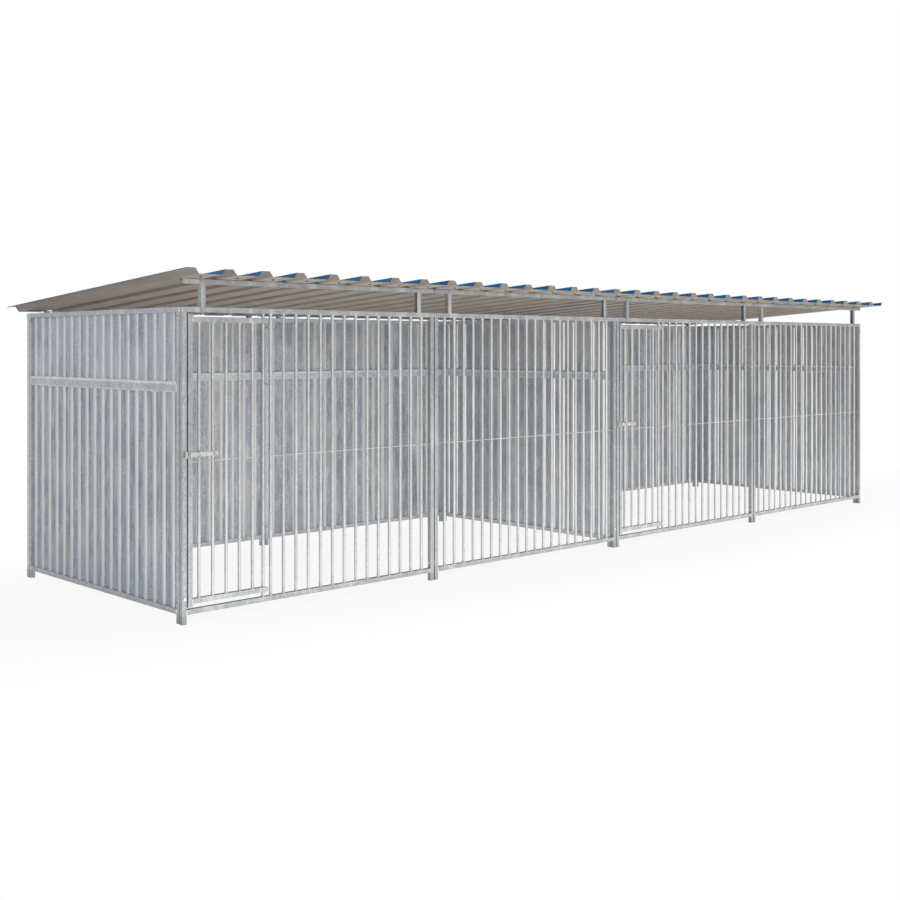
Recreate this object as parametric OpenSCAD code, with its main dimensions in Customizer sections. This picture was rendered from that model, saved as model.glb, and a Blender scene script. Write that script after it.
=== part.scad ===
// Outdoor dog kennel run: two runs side by side under one lean-to roof.
// Millimetres. X runs along the front, -Y is the front, Z is up, and the floor is at Z = 0.
// The origin is below the middle of the whole kennel.

/* [Panels] */
// Pitch of the panels along the front and the back
panel_w = 2000; // [1400:10:2600]
// Height of every panel above the floor
wall_h = 1850; // [1500:10:2400]
// Length of the side and divider walls, front to back
side_len = 1990; // [1400:10:2600]
// Gap between two panels side by side
panel_gap = 10; // [6:1:16]
// Gap between a wall's end post and the panel that it is bolted to
corner_gap = 5; // [2:1:10]
// Height of a bottom rail's underside above the floor
foot_h = 55; // [40:1:90]

/* [Tubes and bars] */
// Side of the square tube
tube = 30; // [28:1:40]
// Wall of the square tube
tube_t = 2; // [1.5:0.5:3]
// Diameter of the round bars
bar_d = 20; // [16:1:24]
// Wall of the round bars
bar_t = 1.5; // [1:0.5:3]
// Spacing that the bars of a panel come close to
bar_pitch = 94; // [70:1:120]
// From a post's inner face to the axis of the bar next to it
bar_edge = 75; // [50:1:110]
// Diameter of the tie rod
rod_d = 7; // [5:0.5:9]
// Height of the tie rod above the floor
rod_z = 945; // [800:5:960]

/* [Door] */
// Gap between the post and the door's stile
door_gap = 10; // [6:1:16]
// From the stile's outer face to the hinge axis
leaf_w = 535; // [440:5:700]
// Spacing of the door's bars
door_pitch = 94; // [80:1:110]
// From the stile's axis to the first bar of the door
door_first = 66; // [50:1:80]
// From the hinge axis to the first fixed bar
hinge_space = 56; // [52:1:90]
// Length of a door rail past the hinge axis
rail_tail = 30; // [24:1:34]
// Gap above and below the stile
stile_gap = 10; // [6:1:20]
// Gap above and below the door's rails
rail_gap = 29; // [24:1:60]
// Wall of the sleeves that turn on the hinge bar
sleeve_t = 2; // [1.5:0.5:2.5]
// Height of the collar under the door
collar_h = 12; // [8:1:16]
// Wall of the collar
collar_t = 4; // [3:0.5:6]

/* [Latch] */
// Height of the bolt's axis above the floor
latch_z = 987; // [982:1:1100]
// Height of the bolt
bolt_h = 24; // [18:1:26]
// Thickness of the bolt
bolt_t = 5; // [4:0.5:8]
// Length of the bolt
bolt_len = 196; // [180:1:215]
// Travel of the bolt
bolt_travel = 34; // [30:1:38]
// From the stile's outer face to the tip of the drawn bolt
bolt_back = 3; // [1:1:6]
// From the bolt's end to its finger hole
finger_end = 28; // [20:1:34]
// Diameter of the bolt's finger hole
finger_d = 11; // [8:0.5:14]
// Thickness of the base plate
plate_t = 3; // [2:0.5:4]
// Height of the base plate
plate_h = 31; // [31:1:40]
// Thickness of the guides and the keeper
strap_t = 3; // [2:0.5:4]
// Width of the guides and the keeper
strap_w = 14; // [10:1:20]

/* [Walls] */
// Height of the middle rail
mid_h = 50; // [40:1:70]
// From the top of a wall to the middle of its middle rail
mid_drop = 470; // [400:5:600]
// Spacing that the wall corrugation comes close to
corr_pitch = 107; // [90:1:130]
// Depth of the wall corrugation
corr_depth = 10; // [8:1:18]
// Width of a crest of the wall corrugation
corr_crest = 17; // [12:1:30]
// Width of a sloping side of the wall corrugation
corr_side = 8; // [6:1:14]
// From the face of a wall's frame to the crests of its sheets
corr_inset = 5; // [2:0.5:9]
// Thickness of the wall sheets
corr_t = 0.8; // [0.6:0.1:1.2]

/* [Roof] */
// Height of the front bearing edge above the walls
front_rise = 165; // [120:5:260]
// Clear gap between the back wall and the rear bearer
rear_rise = 16; // [10:1:40]
// Thickness of the flat rear bearer
bearer_t = 4; // [3:0.5:6]
// Height of the front purlin
purlin_h = 28; // [22:1:40]
// Lip of the front purlin
purlin_lip = 8; // [6:1:9]
// Thickness of purlins and uprights
strut_t = 2.5; // [2:0.5:3]
// Width of an upright
strut_w = 32; // [28:1:40]
// From a panel's end to the middle of the upright
strut_inset = 145; // [110:5:250]
// Length of roof in front of the front panels
front_over = 210; // [150:10:300]
// Length of roof behind the back panels
rear_over = 95; // [60:5:160]
// Overhang of the roof at either side
side_over = 95; // [60:5:150]
// Ribs in one roof sheet
sheet_ribs = 4; // [3:1:5]
// Height of a roof rib
rib_h = 33; // [25:1:40]
// Width of a rib's crest
rib_crest = 54; // [40:1:60]
// Width of a rib's sloping side
rib_web = 22; // [18:1:30]
// Down-turned lip at a sheet's left edge
rib_lip = 7; // [5:1:12]
// Thickness of the roof sheets
roof_t = 0.7; // [0.5:0.1:1]

/* [Bolts] */
// Diameter of the panel bolts
bolt_d = 10; // [8:1:12]
// Drop of the corner bolts below the top
corner_drop = 78; // [70:1:110]
// Height of the middle corner bolts above the floor
corner_mid = 1310; // [1200:5:1330]
// Height of the low corner bolts above the floor
corner_low = 150; // [140:1:200]
// Drop of the side-to-side bolts below the top
joint_drop = 50; // [45:1:56]
// Height of the low side-to-side bolts above the floor
joint_low = 124; // [115:1:128]
// Diameter of the screws of the uprights and the roof
screw_d = 6; // [5:0.5:7]

/* [Clearances] */
// Gap left for the weld between welded pieces
weld_gap = 0.2; // [0.1:0.1:0.3]
// Gap round the hinge bar, on the radius
hinge_play = 0.05; // [0.02:0.01:0.1]
// Gap round the sliding bolt
slide_gap = 0.4; // [0.3:0.1:0.8]
// Gap round the bolt in its keeper
keeper_gap = 3; // [2:0.5:5]
// Gap round a bolt or screw in its hole, on the radius
hole_play = 0.5; // [0.3:0.1:1]
// Gap between roof sheets at a lap, and under them at their bearers
lap_gap = 0.2; // [0.1:0.1:0.3]
// Gap at the far side of a spacer
spacer_gap = 0.05; // [0.02:0.01:0.1]

/* [Hidden] */
$fn = 48;
// Overshoot of a cut past the face that it opens
over = 1;
bays = 4;
door_bays = [0, 2];
frame_w = panel_w - panel_gap;
half_gap = panel_gap / 2;
inner_left = half_gap + tube;
inner_right = panel_w - half_gap - tube;
depth = side_len + 2 * (tube + corner_gap);
bar_low = foot_h + tube + weld_gap;
bar_top = wall_h - tube - weld_gap;
mid_z = wall_h - mid_drop;
galvanised = [0.70, 0.73, 0.75];
sheet_grey = [0.60, 0.64, 0.68];
zinc = [0.80, 0.80, 0.78];
roof_blue = [0.10, 0.30, 0.52];

// Door and latch, measured from the left end of the panel's pitch
stile_x = inner_left + door_gap;
stile_mid = stile_x + tube / 2;
hinge_x = stile_x + leaf_w;
bars_before_hinge = 60;
door_bar_n = floor((leaf_w - tube / 2 - door_first - bars_before_hinge) / door_pitch);
door_bar_x = [for (i = [0:door_bar_n]) stile_mid + door_first + i * door_pitch];
door_low = foot_h + tube + rail_gap;
door_top = wall_h - tube - rail_gap - tube;
sleeve_d = bar_d + 2 * (hinge_play + sleeve_t);
bar_front = (tube - bar_d) / 2;
plate_end = door_bar_x[1] + tube / 2;
bolt_front = plate_t + slide_gap + bolt_t;
tunnel = bolt_h + 2 * slide_gap;
finger_x = bolt_len - finger_end;
keeper_x = stile_x + bolt_back - bolt_travel + bolt_h / 2;
plate_bend = stile_x + tube + 4;
plate_bend_run = 12;
rod_over = bar_d / 2 + 4;

// Bars: evenly spread from one axis to another
function spread(a, b, pitch) =
    let (n = round((b - a) / pitch)) [for (i = [0:n]) a + (b - a) * i / n];
plain_x = spread(inner_left + bar_edge, inner_right - bar_edge, bar_pitch);
fixed_x = spread(hinge_x + hinge_space, inner_right - bar_edge, bar_pitch);

// Bolts
head_h = 6.4;
head_w = 1.7 * bolt_d;
nut_h = 0.8 * bolt_d;
nut_play = 0.1;
bolt_tip = 3;
hole_d = bolt_d + 2 * hole_play;
corner_z = [corner_low, corner_mid, wall_h - corner_drop];
joint_z = [joint_low, wall_h - joint_drop];
link_t = 4;
link_h = 40;
screw_head = 1.6 * screw_d;
screw_head_h = 4;
screw_len = 12;
screw_hole = screw_d + 2 * hole_play;
washer_d = 3 * screw_d;
washer_h = 2;

// Roof: it bears on the rear edges of the front purlins and of the rear bearers
roof_drop = front_rise - rear_rise - bearer_t;
roof_run = depth - tube;
slope = atan(roof_drop / roof_run);
lap_rise = roof_t + lap_gap;
lap_side = 2 * roof_t;
lap_end = 8;
sheets = 8;
lip_run = rib_web * rib_lip / rib_h;
roof_w = bays * panel_w + 2 * side_over;
rib_pitch = (roof_w - rib_crest + lap_end - lap_side - lip_run) / (sheets * sheet_ribs);
cover_w = sheet_ribs * rib_pitch;
rear_lift = (rib_h + lap_rise + roof_t) * sin(slope);
front_y = (front_over - rear_over - rear_lift - depth) / 2;
back_y = front_y + depth;
side_y = front_y + tube + corner_gap;
roof_x = lap_side + lip_run - roof_w / 2;
roof_front = -(front_over + tube) / cos(slope);
roof_back = (roof_run + rear_over) / cos(slope);
screw_front = -tube / 2 / cos(slope);
screw_back = (roof_run - tube / 2) / cos(slope);
roof_screw_len = roof_t + lap_gap + tube / 2 * tan(slope) + 0.8 * bearer_t;

// Left end of a panel's pitch, and right face of each side or divider wall
function bay_x(p) = (p - bays / 2) * panel_w;
wall_x = [bay_x(0) + inner_left, bay_x(2) - half_gap, bay_x(bays) - half_gap];

// A bent sheet: the outline of a line of points, given a thickness to its left
function turn(a, b) = let (d = b - a) [-d[1], d[0]] / norm(d);
function mitre(u, v, t) = t * (u + v) / (1 + u * v);
function shifted(line, t) =
    let (n = len(line) - 1)
    [for (i = [0:n])
        let (u = turn(line[max(i - 1, 0)], line[max(i, 1)]))
        let (v = turn(line[min(i, n - 1)], line[min(i + 1, n)]))
        line[i] + mitre(u, v, t)];
module bent(line, t) {
    back = shifted(line, t);
    polygon(concat(line, [for (i = [len(back) - 1:-1:0]) back[i]]));
}

// Turning a shape that stands on Z so that it points along X or Y
module along_x() { rotate([0, 90, 0]) children(); }
module along_y() { rotate([-90, 0, 0]) children(); }
// An outline in X and Z, made solid towards +Y
module slab(y, t) { translate([0, y + t, 0]) rotate([90, 0, 0]) linear_extrude(t) children(); }
// An outline in Y and Z, made solid towards +X
module beam(len) { rotate([90, 0, 90]) linear_extrude(len) children(); }

module in_bay(p) { translate([bay_x(p), front_y, 0]) children(); }
module in_back_bay(p) { translate([bay_x(p), back_y - tube, 0]) children(); }
module in_wall(i) { translate([wall_x[i], side_y, 0]) rotate(90) children(); }
module on_roof() {
    translate([0, front_y + tube, wall_h + front_rise + lap_gap]) rotate([-slope, 0, 0]) children();
}

// Square tube cut to an outline in X and Z, with its inside given as a second outline
module tube_cut() {
    difference() {
        slab(0, tube) children(0);
        slab(tube_t, tube - 2 * tube_t) children(1);
    }
}

// Frame of a panel of width w, between 0 and w: posts and top rail meet in a mitre
module post(w, right) {
    flip = right ? [1, 0, 0] : [0, 0, 0];
    translate([right ? w : 0, 0, 0])
        mirror(flip)
            tube_cut() {
                polygon([[0, 0], [tube, 0], [tube, wall_h - tube], [0, wall_h]]);
                polygon([[tube_t, -over], [tube - tube_t, -over], [tube - tube_t, wall_h - tube + tube_t],
                    [tube_t, wall_h - tube_t]]);
            }
}
module top_rail(w) {
    end = weld_gap * sqrt(2);
    low = wall_h - tube;
    tube_cut() {
        polygon([[end, wall_h], [tube + end, low], [w - tube - end, low], [w - end, wall_h]]);
        polygon([[end + tube_t, wall_h - tube_t], [tube - tube_t + end, low + tube_t],
            [w - tube + tube_t - end, low + tube_t], [w - tube_t - end, wall_h - tube_t]]);
    }
}
module cross_rail(w, z, h) {
    len = w - 2 * (tube + weld_gap);
    translate([tube + weld_gap, 0, z])
        tube_cut() {
            square([len, h]);
            translate([-over, tube_t]) square([len + 2 * over, h - 2 * tube_t]);
        }
}
// Holes through a post whose outer corner is at x
module holes_x(x, levels) {
    for (z = levels)
        translate([x - over, tube / 2, z]) along_x() cylinder(d = hole_d, h = tube + 2 * over);
}
module holes_y(x, levels) {
    for (z = levels)
        translate([x + tube / 2, -over, z]) along_y() cylinder(d = hole_d, h = tube + 2 * over);
}
// Screw holes through one wall of the top rail, under the uprights
module strut_holes(y) {
    for (x = [strut_inset, panel_w - strut_inset])
        translate([x - half_gap, y - tube_t, wall_h - tube / 2])
            along_y() cylinder(d = screw_hole, h = 2 * tube_t);
}

// Front panel: left and right posts are drilled where a neighbour or a wall is bolted on
module front_frame(p) {
    color(galvanised)
        in_bay(p) translate([half_gap, 0, 0]) {
            difference() {
                post(frame_w, false);
                holes_x(0, p > 0 ? joint_z : []);
                holes_y(0, p == 0 ? corner_z : []);
            }
            difference() {
                post(frame_w, true);
                holes_x(frame_w - tube, p < bays - 1 ? joint_z : []);
                holes_y(frame_w - tube, p == 1 || p == bays - 1 ? corner_z : []);
            }
            difference() {
                top_rail(frame_w);
                strut_holes(0);
            }
            cross_rail(frame_w, foot_h, tube);
        }
}

// One round bar from z = a to z = b, cross-drilled for the tie rod
module bar(x, a, b, drilled) {
    translate([x, tube / 2, 0])
        difference() {
            translate([0, 0, a]) cylinder(d = bar_d, h = b - a);
            translate([0, 0, a - over]) cylinder(d = bar_d - 2 * bar_t, h = b - a + 2 * over);
            if (drilled)
                translate([-bar_d, 0, rod_z])
                    along_x() cylinder(d = rod_d + 2 * weld_gap, h = 2 * bar_d);
        }
}
function has_door(p) = p == door_bays[0] || p == door_bays[1];
module front_bars(p) {
    color(galvanised)
        in_bay(p)
            for (x = has_door(p) ? fixed_x : plain_x)
                bar(x, bar_low, bar_top, true);
}
module rod(a, b) {
    translate([a, tube / 2, rod_z]) along_x() cylinder(d = rod_d, h = b - a);
}
module tie_rods() {
    color(galvanised)
        for (p = [0:bays - 1])
            in_bay(p)
                rod(has_door(p) ? fixed_x[0] - rod_over : inner_left + weld_gap, inner_right - weld_gap);
}
// Hinge bar of a door, with the collar that carries the door
module hinge_bar(p) {
    color(zinc)
        in_bay(p) {
            bar(hinge_x, bar_low, bar_top, false);
            translate([hinge_x, tube / 2, door_low - lap_gap - collar_h])
                difference() {
                    cylinder(d = bar_d + 2 * collar_t, h = collar_h);
                    hinge_bore(collar_h);
                }
        }
}
module hinge_bore(h) {
    translate([0, 0, -over]) cylinder(d = bar_d + 2 * hinge_play, h = h + 2 * over);
}

// Door rail with a round end past the hinge bar, bored for its sleeve
module round_end(len, r) {
    square([len - r, 2 * r]);
    translate([len - r, r]) circle(r);
}
module door_rail(z) {
    start = stile_x + tube + weld_gap;
    len = hinge_x + rail_tail - start;
    difference() {
        translate([start, 0, z])
            tube_cut() {
                round_end(len, tube / 2);
                translate([-over, tube_t]) round_end(len + over - tube_t, tube / 2 - tube_t);
            }
        translate([hinge_x, tube / 2, z - over])
            cylinder(d = sleeve_d + 2 * hinge_play, h = tube + 2 * over);
    }
}
module door_frame(p) {
    low = foot_h + tube + stile_gap;
    color(galvanised)
        in_bay(p) {
            translate([stile_x, 0, low])
                tube_cut() {
                    square([tube, wall_h - tube - stile_gap - low]);
                    translate([tube_t, -over]) square([tube - 2 * tube_t, wall_h]);
                }
            door_rail(door_low);
            door_rail(door_top);
        }
}
module door_sleeves(p) {
    color(zinc)
        in_bay(p)
            for (z = [door_low, door_top])
                translate([hinge_x, tube / 2, z])
                    difference() {
                        cylinder(d = sleeve_d, h = tube);
                        hinge_bore(tube);
                    }
}
module door_bars(p) {
    last = door_bar_x[len(door_bar_x) - 1];
    color(galvanised)
        in_bay(p) {
            for (x = door_bar_x)
                bar(x, door_low + tube + weld_gap, door_top - weld_gap, true);
            rod(stile_x + tube + weld_gap, last + rod_over);
        }
}

// Base plate of the latch: flat on the stile, then bent back to lie on the bars
module latch_plate(p) {
    back = bar_front - weld_gap;
    line = [[plate_end, back], [plate_bend + plate_bend_run, back], [plate_bend, 0], [stile_x, 0]];
    color(zinc)
        in_bay(p) translate([0, 0, latch_z - plate_h / 2])
            linear_extrude(plate_h) bent(line, plate_t);
}
// U-shaped strap from y = base forward over a space that is h high and reaches y = -front
module strap(x, base, front, h) {
    reach = base + front + strap_t;
    translate([x - strap_w / 2, -front - strap_t, latch_z])
        beam(strap_w)
            difference() {
                translate([0, -h / 2 - strap_t]) square([reach, h + 2 * strap_t]);
                translate([strap_t, -h / 2]) square([reach, h]);
            }
}
module latch_guides(p) {
    front = bolt_front + slide_gap;
    color(zinc)
        in_bay(p) {
            strap(stile_mid + bolt_back, -plate_t, front, tunnel);
            strap(door_bar_x[0], bar_front - weld_gap - plate_t, front, tunnel);
        }
}
module latch_bolt(p) {
    tip = bolt_h / 2;
    color(zinc)
        in_bay(p) translate([stile_x + bolt_back, 0, latch_z - tip])
            slab(-bolt_front, bolt_t)
                difference() {
                    union() {
                        translate([tip, tip]) circle(tip);
                        translate([tip, 0]) square([bolt_len - tip, bolt_h]);
                    }
                    translate([finger_x, tip]) circle(d = finger_d);
                }
}
module latch_keeper(p) {
    color(zinc)
        in_bay(p)
            strap(keeper_x, 0, bolt_front + keeper_gap, bolt_h + 2 * keeper_gap);
}

// Wall panel of length w: frame with a flat middle rail, and two corrugated sheets
module wall_rails(w) {
    top_rail(w);
    cross_rail(w, mid_z - mid_h / 2, mid_h);
    cross_rail(w, foot_h, tube);
}
module wall_sheet(w, low, high) {
    clear = w - 2 * (tube + weld_gap);
    n = round(clear / corr_pitch);
    pitch = clear / n;
    edge = (pitch - corr_crest) / 2;
    line = concat([[0, 0]], [for (i = [0:n - 1]) each wave(i * pitch + edge)], [[clear, 0]]);
    translate([tube + weld_gap, tube - corr_inset - corr_depth - corr_t, low])
        linear_extrude(high - low) bent(line, corr_t);
}
// One crest of the corrugation, which starts at x
function wave(x) = let (end = x + corr_crest)
    [[x - corr_side, 0], [x, corr_depth], [end, corr_depth], [end + corr_side, 0]];
module wall_sheets(w) {
    wall_sheet(w, foot_h + tube + weld_gap, mid_z - mid_h / 2 - weld_gap);
    wall_sheet(w, mid_z + mid_h / 2 + weld_gap, wall_h - tube - weld_gap);
}
// Side and divider walls: end posts take the corner bolts, and spare holes take another panel
module side_frame(i) {
    color(galvanised)
        in_wall(i) {
            for (right = [false, true])
                difference() {
                    post(side_len, right);
                    for (z = corner_z)
                        translate([right ? side_len - tube_t - over : -over, tube / 2, z])
                            along_x() cylinder(d = hole_d, h = tube_t + 2 * over);
                    holes_y(right ? side_len - tube : 0, joint_z);
                }
            wall_rails(side_len);
        }
}
module side_sheets(i) {
    color(sheet_grey) in_wall(i) wall_sheets(side_len);
}
module back_frame(p) {
    color(galvanised)
        in_back_bay(p) translate([half_gap, 0, 0]) {
            for (right = [false, true])
                difference() {
                    post(frame_w, right);
                    holes_y(right ? frame_w - tube : 0, corner_z);
                }
            difference() {
                wall_rails(frame_w);
                strut_holes(tube);
            }
        }
}
// The crests of the back sheets face the runs, as they do on the left wall's outside
module back_sheets(p) {
    color(sheet_grey)
        in_back_bay(p) translate([half_gap, tube, 0]) mirror([0, 1, 0]) wall_sheets(frame_w);
}

// Channel upright: its front flange laps the rail below and the purlin above
module upright(clear, above) {
    translate([-strut_w / 2, 0, 0]) {
        linear_extrude(clear)
            bent([[strut_w, -strut_t], [0, -strut_t], [0, tube], [strut_w, tube]], -strut_t);
        translate([0, -strut_t, -tube]) screwed_tab(tube + clear + above, above);
    }
}
module screwed_tab(h, above) {
    difference() {
        cube([strut_w, strut_t, h]);
        for (z = above > 0 ? [tube / 2, h - above / 2] : [tube / 2])
            translate([strut_w / 2, -over, z]) along_y() cylinder(d = screw_hole, h = strut_t + 2 * over);
    }
}
// Both uprights of a panel, as a mirrored pair
module pair() {
    translate([strut_inset, 0, wall_h]) children();
    translate([panel_w - strut_inset, 0, wall_h]) mirror([1, 0, 0]) children();
}
module front_uprights() {
    color(galvanised)
        for (p = [0:bays - 1])
            in_bay(p) pair() upright(front_rise - purlin_h, purlin_h);
}
module rear_uprights() {
    color(galvanised)
        for (p = [0:bays - 1])
            translate([bay_x(p), back_y, 0]) mirror([0, 1, 0]) pair() upright(rear_rise, 0);
}
module front_purlins() {
    h = purlin_h;
    line = [[tube, purlin_lip], [tube, 0], [0, 0], [0, h], [tube, h], [tube, h - purlin_lip]];
    color(galvanised)
        for (p = [0:bays - 1])
            in_bay(p)
                difference() {
                    translate([half_gap, 0, wall_h + front_rise - h]) beam(frame_w) bent(line, -strut_t);
                    for (x = [strut_inset, panel_w - strut_inset])
                        translate([x, -over, wall_h + front_rise - h / 2])
                            along_y() cylinder(d = screw_hole, h = strut_t + 2 * over);
                    purlin_screw_holes(p, screw_front, front_y);
                }
}
module rear_bearers() {
    color(galvanised)
        for (p = [0:bays - 1])
            in_back_bay(p)
                difference() {
                    translate([half_gap, 0, wall_h + rear_rise]) cube([frame_w, tube, bearer_t]);
                    purlin_screw_holes(p, screw_back, back_y - tube);
                }
}

// Roof sheet: the first rib lies over the last web and crest of the sheet before it
function rib(k) = let (x = k * rib_pitch)
    [[x - rib_web, 0], [x, rib_h], [x + rib_crest, rib_h], [x + rib_crest + rib_web, 0]];
module sheet_outline() {
    top = rib_h + lap_rise;
    start = [[-lap_side - lip_run, top - rib_lip], [-lap_side, top], [rib_crest, top],
        [rib_crest + rib_web, 0]];
    last = rib(sheet_ribs);
    end = [last[0], last[1], last[2] - [lap_end, 0]];
    bent(concat(start, [for (k = [1:sheet_ribs - 1]) each rib(k)], end), roof_t);
}
module roof_sheet(s) {
    color(roof_blue)
        on_roof()
            difference() {
                translate([roof_x + s * cover_w, 0, 0])
                    slab(roof_front, roof_back - roof_front) sheet_outline();
                for (k = [s * sheet_ribs:(s + 1) * sheet_ribs - 1], y = [screw_front, screw_back])
                    translate([pan_x(k), y, -over]) cylinder(d = screw_hole, h = roof_t + 2 * over);
            }
}
// Roof screws stand in the middle of every pan, over the purlin and the bearer
function pan_x(k) = roof_x + k * rib_pitch + (rib_crest + rib_pitch) / 2;
module purlin_screw_holes(p, y, y0) {
    for (k = [0:sheets * sheet_ribs - 1])
        if (pan_x(k) > bay_x(p) && pan_x(k) < bay_x(p + 1))
            translate([-bay_x(p), -y0, 0])
                on_roof()
                    translate([pan_x(k), y, -tube / 2]) cylinder(d = screw_hole, h = tube);
}
module roof_screws() {
    color(zinc)
        on_roof()
            for (k = [0:sheets * sheet_ribs - 1], y = [screw_front, screw_back])
                translate([pan_x(k), y, roof_t]) {
                    cylinder(d = washer_d, h = washer_h);
                    cylinder(d = screw_head / cos(30), h = washer_h + screw_head_h, $fn = 6);
                    translate([0, 0, -roof_screw_len]) cylinder(d = screw_d, h = roof_screw_len);
                }
}
// Screws through the tabs of the uprights
module tab_screw() {
    translate([0, 0, -screw_head_h]) cylinder(d = screw_head / cos(30), h = screw_head_h, $fn = 6);
    cylinder(d = screw_d, h = screw_len);
}
module upright_screws() {
    color(zinc)
        for (p = [0:bays - 1]) {
            for (z = [-tube / 2, front_rise - purlin_h / 2])
                in_bay(p) pair() translate([0, -strut_t, z]) along_y() tab_screw();
            translate([bay_x(p), back_y, 0]) mirror([0, 1, 0])
                pair() translate([0, -strut_t, -tube / 2]) along_y() tab_screw();
        }
}

// Panel bolts. A hex bolt stands on Z with its head below, and its nut sits at z = grip
module hex_bolt(grip) {
    translate([0, 0, -head_h]) cylinder(d = head_w / cos(30), h = head_h, $fn = 6);
    cylinder(d = bolt_d, h = grip + nut_h + bolt_tip);
}
module hex_nut(grip) {
    translate([0, 0, grip])
        difference() {
            cylinder(d = head_w / cos(30), h = nut_h, $fn = 6);
            translate([0, 0, -over]) cylinder(d = bolt_d + 2 * nut_play, h = nut_h + 2 * over);
        }
}
module ring(h) {
    difference() {
        cylinder(d = 2 * bolt_d, h = h);
        translate([0, 0, -over]) cylinder(d = hole_d, h = h + 2 * over);
    }
}
// Places of the bolts: corners from the front, corners from the back, joints, and links.
// Corner nuts are welded inside the wall's post, and a joint's head is on the side of the door.
corner_grip = tube + corner_gap + tube_t + weld_gap;
joint_grip = 2 * tube + panel_gap;
link_grip = tube + link_t;
module at_front_corners() {
    for (x = wall_x, z = corner_z)
        translate([x - tube / 2, front_y, z]) along_y() children();
}
module at_back_corners(linked) {
    for (i = linked ? [1] : [0, 2], z = corner_z)
        translate([wall_x[i] - tube / 2, back_y, z]) rotate([90, 0, 0]) children();
}
module at_joints() {
    for (p = [1:bays - 1], z = joint_z)
        translate([bay_x(p) + half_gap + tube, front_y + tube / 2, z]) rotate([0, -90, 0]) children();
}
module at_links() {
    side = half_gap + tube / 2;
    for (p = [1:bays - 1], z = corner_z, s = p == bays / 2 ? [side] : [-side, side])
        translate([bay_x(p) + s, back_y + link_t, z]) rotate([90, 0, 0]) children();
}
module panel_bolts() {
    color(zinc) {
        at_front_corners() hex_bolt(corner_grip);
        at_back_corners(false) hex_bolt(corner_grip);
        at_back_corners(true) translate([0, 0, -link_t]) hex_bolt(corner_grip + link_t);
        at_joints() hex_bolt(joint_grip);
        at_links() hex_bolt(link_grip);
    }
}
module panel_nuts() {
    color(zinc) {
        at_front_corners() hex_nut(corner_grip);
        at_back_corners(false) hex_nut(corner_grip);
        at_back_corners(true) hex_nut(corner_grip);
        at_joints() hex_nut(joint_grip);
        at_links() hex_nut(link_grip);
    }
}
module panel_spacers() {
    color(zinc) {
        at_front_corners() translate([0, 0, tube]) ring(corner_gap - spacer_gap);
        at_back_corners(false) translate([0, 0, tube]) ring(corner_gap - spacer_gap);
        at_back_corners(true) translate([0, 0, tube]) ring(corner_gap - spacer_gap);
        at_joints() translate([0, 0, tube]) ring(panel_gap - spacer_gap);
    }
}
// Flat links behind the joints of the back panels
module back_links() {
    w = 2 * tube + panel_gap;
    side = half_gap + tube / 2;
    color(zinc)
        for (p = [1:bays - 1], z = corner_z)
            translate([bay_x(p), back_y, z])
                difference() {
                    translate([-w / 2, 0, -link_h / 2]) cube([w, link_t, link_h]);
                    for (s = [-side, side])
                        translate([s, -over, 0]) along_y() cylinder(d = hole_d, h = link_t + 2 * over);
                }
}

doors = [0:len(door_bays) - 1];
door_pieces = ["hinge_bar", "door_frame", "door_sleeves", "door_bars", "latch_plate", "latch_guides",
    "latch_bolt", "latch_keeper"];
side_names = ["left", "divider", "right"];

for (p = [0:bays - 1]) {
    front_frame(p);
    front_bars(p);
    back_frame(p);
    back_sheets(p);
}
tie_rods();
for (d = doors) {
    hinge_bar(door_bays[d]);
    door_frame(door_bays[d]);
    door_sleeves(door_bays[d]);
    door_bars(door_bays[d]);
    latch_plate(door_bays[d]);
    latch_guides(door_bays[d]);
    latch_bolt(door_bays[d]);
    latch_keeper(door_bays[d]);
}
for (i = [0:len(side_names) - 1]) {
    side_frame(i);
    side_sheets(i);
}
front_uprights();
front_purlins();
rear_uprights();
rear_bearers();
for (s = [0:sheets - 1])
    roof_sheet(s);
panel_bolts();
panel_nuts();
panel_spacers();
back_links();
upright_screws();
roof_screws();
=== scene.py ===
"""Looks of the outdoor dog kennel run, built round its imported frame."""
import math

import bmesh
import bpy
from mathutils import Matrix, Vector, noise


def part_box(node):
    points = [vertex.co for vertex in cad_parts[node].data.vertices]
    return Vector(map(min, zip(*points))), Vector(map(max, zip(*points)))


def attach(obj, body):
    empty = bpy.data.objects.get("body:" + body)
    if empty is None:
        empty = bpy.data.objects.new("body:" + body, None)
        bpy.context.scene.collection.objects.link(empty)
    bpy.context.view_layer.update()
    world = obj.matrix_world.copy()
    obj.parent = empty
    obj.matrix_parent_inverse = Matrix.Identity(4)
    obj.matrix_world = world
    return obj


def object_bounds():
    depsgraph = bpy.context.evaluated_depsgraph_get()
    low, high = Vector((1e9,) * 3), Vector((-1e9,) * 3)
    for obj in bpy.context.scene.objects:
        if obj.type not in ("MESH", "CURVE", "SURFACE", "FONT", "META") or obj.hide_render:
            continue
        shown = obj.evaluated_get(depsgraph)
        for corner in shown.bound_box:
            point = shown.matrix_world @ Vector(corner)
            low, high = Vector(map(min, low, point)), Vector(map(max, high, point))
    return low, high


bl_info = {
    "name": "Outdoor dog kennel run",
    "version": (1, 0, 0),
    "blender": (4, 5, 0),
    "location": "View3D > Sidebar > Kennel",
    "description": "Galvanised finishes, weld beads, fixings and the studio of a two-run dog kennel",
    "category": "Object",
}

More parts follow.
